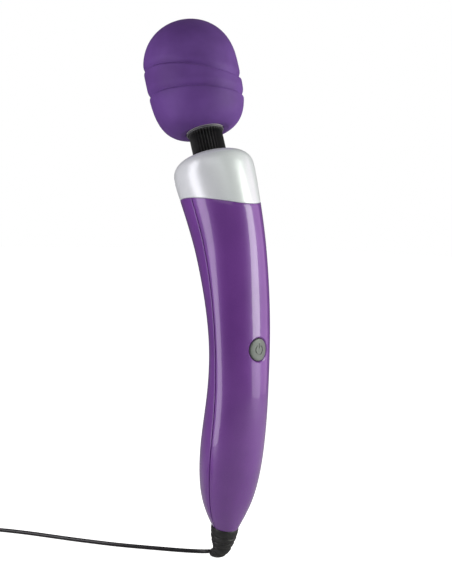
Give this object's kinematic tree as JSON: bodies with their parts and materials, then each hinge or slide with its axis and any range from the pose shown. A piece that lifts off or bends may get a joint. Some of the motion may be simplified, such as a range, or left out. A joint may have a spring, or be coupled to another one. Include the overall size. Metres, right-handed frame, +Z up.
{
  "type": "handheld wand massager",
  "caption": "Corded handheld wand massager: a curved two-shell grip with a push button, a collar, a flexible ribbed neck and a soft round head driven by an eccentric weight.",
  "frame": {"origin": "on the grip's centre line at the middle of the grip, where a hand holds it", "axes": "+Z up along the grip towards the head, -Y towards the button, X across; the head and the tail both lean towards +Y"},
  "size_m": [0.1921, 0.1719, 0.329],
  "materials": {
    "shell_purple": "polished",
    "collar_pearl": "satin pearl",
    "head_silicone": "matte",
    "black_rubber": "matte",
    "button_grey": "satin",
    "black_plastic": "satin",
    "white_plastic": "satin",
    "grey_plastic": "satin",
    "steel": "brushed",
    "weight_zinc": "sintered",
    "copper": "enamelled",
    "board_green": "solder mask",
    "red_wire": "smooth",
    "black_cord": "smooth",
    "brass_pins": "plated"
  },
  "bodies": {
    "handle": {"front_shell": "shell_purple", "rear_shell": "shell_purple", "shell_screws": "steel", "screw_plugs": "shell_purple", "collar": "collar_pearl", "button_gasket": "black_rubber", "switch_body": "black_plastic", "control_board": "board_green", "board_parts": "black_plastic", "board_screws": "steel", "motor_can": "steel", "motor_magnets": "weight_zinc", "motor_end_cap": "white_plastic", "motor_mount": "black_plastic", "motor_screws": "steel", "motor_lead_red": "red_wire", "motor_lead_black": "black_cord", "input_lead": "black_cord", "lead_clamp": "white_plastic", "clamp_screws": "steel", "neck_seat": "black_plastic", "seat_screws": "steel", "neck_spring": "steel", "neck_boot": "black_rubber", "strain_relief": "black_rubber", "cord": "black_cord", "cord_coil": "black_cord", "coil_tie": "black_plastic", "adapter_lead": "black_cord", "adapter_sleeve": "black_rubber", "adapter_front": "black_plastic", "adapter_back": "black_plastic", "adapter_core": "weight_zinc", "adapter_pins": "brass_pins"},
    "neck_link": {"drive_guide": "white_plastic"},
    "head": {"head_base": "white_plastic", "head_cup": "white_plastic", "head_screws": "steel", "head_skin": "head_silicone", "lower_bearing": "steel", "upper_bearing": "steel", "neck_ring": "grey_plastic"},
    "eccentric": {"eccentric_shaft": "steel", "eccentric_weight": "weight_zinc", "weight_screw": "steel"},
    "rotor": {"motor_armature": "copper", "motor_shaft": "steel", "drive_spring": "steel"},
    "button": {"power_button": "button_grey"},
    "plunger": {"switch_plunger": "white_plastic"}
  },
  "joints": [
    {"name": "neck_tilt", "type": "hinge", "parent": "handle", "child": "neck_link", "pos_m": [0, 0.03082, 0.12488], "axis": [1, 0, 0], "range_deg": [-15, 15], "stiffness_Nm_per_rad": 6, "deforming": ["neck_boot", "neck_spring", "drive_spring"]},
    {"name": "neck_sway", "type": "hinge", "parent": "neck_link", "child": "head", "pos_m": [0, 0.03287, 0.13052], "axis": [0, 0.9397, -0.342], "range_deg": [-15, 15], "stiffness_Nm_per_rad": 6, "deforming": ["neck_boot", "neck_spring", "drive_spring"]},
    {"name": "button_press", "type": "slide", "parent": "handle", "child": "button", "axis": [0, 0.9995, -0.0307], "range_m": [0, 0.0006], "stiffness_N_per_m": 2500, "springref_m": -0.0002},
    {"name": "plunger_press", "type": "slide", "parent": "handle", "child": "plunger", "axis": [0, 0.9995, -0.0307], "range_m": [0, 0.0006]},
    {"name": "motor_spin", "type": "hinge", "parent": "handle", "child": "rotor", "pos_m": [0, 0.01375, 0.07798], "axis": [0, 0.342, 0.9397], "continuous": true},
    {"name": "eccentric_spin", "type": "hinge", "parent": "head", "child": "eccentric", "pos_m": [0, 0.04467, 0.16294], "axis": [0, 0.342, 0.9397], "continuous": true}
  ],
  "couplings": [
    {"joint": "plunger_press", "follows": "button_press", "ratio": 1},
    {"joint": "motor_spin", "follows": "eccentric_spin", "ratio": 1}
  ]
}
